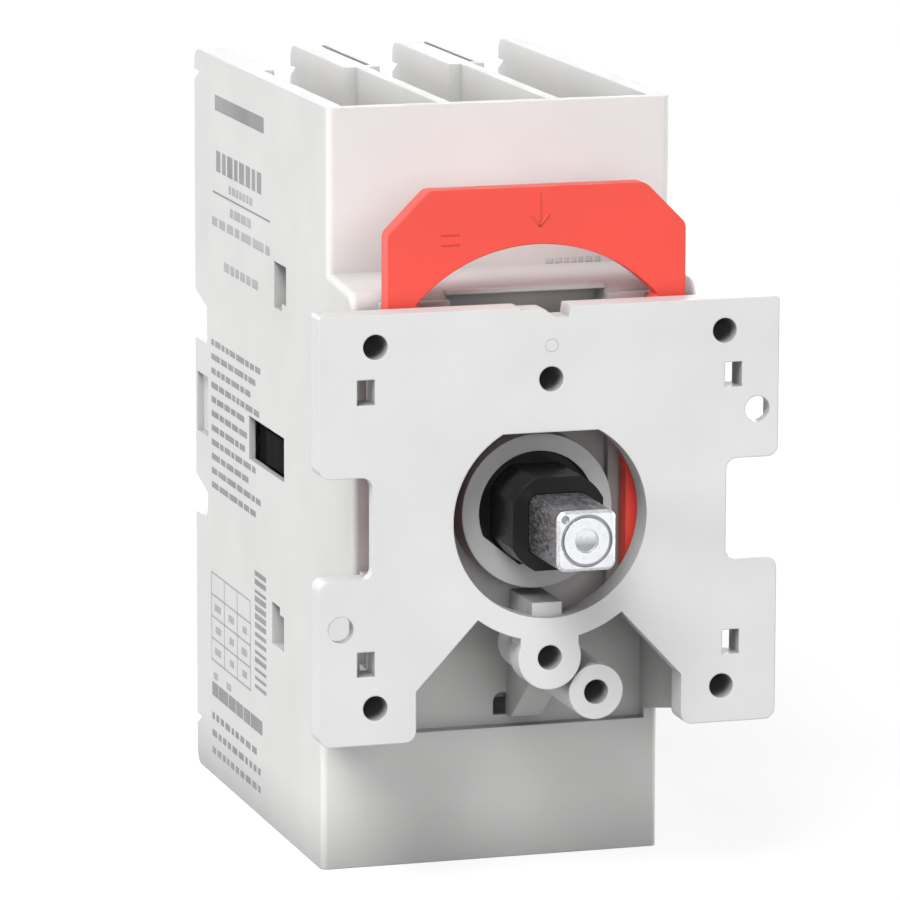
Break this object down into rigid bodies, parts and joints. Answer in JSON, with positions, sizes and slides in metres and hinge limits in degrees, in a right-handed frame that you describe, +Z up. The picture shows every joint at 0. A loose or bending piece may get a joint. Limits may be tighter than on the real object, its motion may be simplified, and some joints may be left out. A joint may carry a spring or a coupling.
{
  "type": "switch disconnector",
  "caption": "Rotary switch disconnector body for door mounting, with a square drive shaft, a red lock slider and rear-driven cable clamps.",
  "frame": {"origin": "centre of the 36 x 36 mm door hole pattern on the front face of the mounting plate, on the shaft's axis", "axes": "-Y towards the door and the operator, +Y into the cabinet, +X to the right seen from the operator, +Z up"},
  "size_m": [0.0474, 0.0804, 0.0784],
  "materials": {
    "housing_plastic": "fine satin moulding",
    "plate_plastic": "fine satin moulding",
    "cover_plastic": "fine satin moulding",
    "inner_plastic": "satin",
    "slider_plastic": "satin red",
    "rotor_plastic": "satin black",
    "carriage_plastic": "satin black",
    "shaft_steel": "bright zinc plate",
    "pin_steel": "ground",
    "spring_steel": "drawn wire",
    "screw_steel": "zinc plate",
    "clamp_steel": "zinc plate",
    "bar_copper": "rolled copper",
    "bridge_copper": "rolled copper",
    "contact_silver": "silver alloy"
  },
  "bodies": {
    "base": {"housing": "housing_plastic", "mounting_plate": "plate_plastic", "rear_cover": "cover_plastic", "cover_screws": "screw_steel", "bearing_plate": "inner_plastic", "detent_spring": "spring_steel", "fixed_contact_tips": "contact_silver", "terminal_screws": "screw_steel", "line_terminal_bar_1": "bar_copper", "line_terminal_bar_2": "bar_copper", "line_terminal_bar_3": "bar_copper", "load_terminal_bar_1": "bar_copper", "load_terminal_bar_2": "bar_copper", "load_terminal_bar_3": "bar_copper", "line_clamp_cage_1": "clamp_steel", "line_clamp_cage_2": "clamp_steel", "line_clamp_cage_3": "clamp_steel", "load_clamp_cage_1": "clamp_steel", "load_clamp_cage_2": "clamp_steel", "load_clamp_cage_3": "clamp_steel"},
    "rotor": {"rotor": "rotor_plastic", "drive_shaft": "shaft_steel"},
    "carriage": {"contact_carriage": "carriage_plastic", "drive_pin": "pin_steel", "moving_contact_tips": "contact_silver", "contact_bridge_1": "bridge_copper", "contact_bridge_2": "bridge_copper", "contact_bridge_3": "bridge_copper", "contact_spring_1": "spring_steel", "contact_spring_2": "spring_steel", "contact_spring_3": "spring_steel"},
    "lock_slider": {"lock_slider": "slider_plastic"}
  },
  "joints": [
    {"name": "shaft_turn", "type": "hinge", "parent": "base", "child": "rotor", "pos_m": [0, 0, 0], "axis": [0, 1, 0], "range_deg": [0, 90], "deforming": ["detent_spring"]},
    {"name": "carriage_slide", "type": "slide", "parent": "base", "child": "carriage", "axis": [0, 1, 0], "range_m": [0, 0.005]},
    {"name": "lock_slide", "type": "slide", "parent": "base", "child": "lock_slider", "axis": [0, 0, -1], "range_m": [0, 0.009]}
  ],
  "couplings": [
    {"joint": "shaft_turn", "follows": "carriage_slide", "rad_per_m": 314.16}
  ]
}
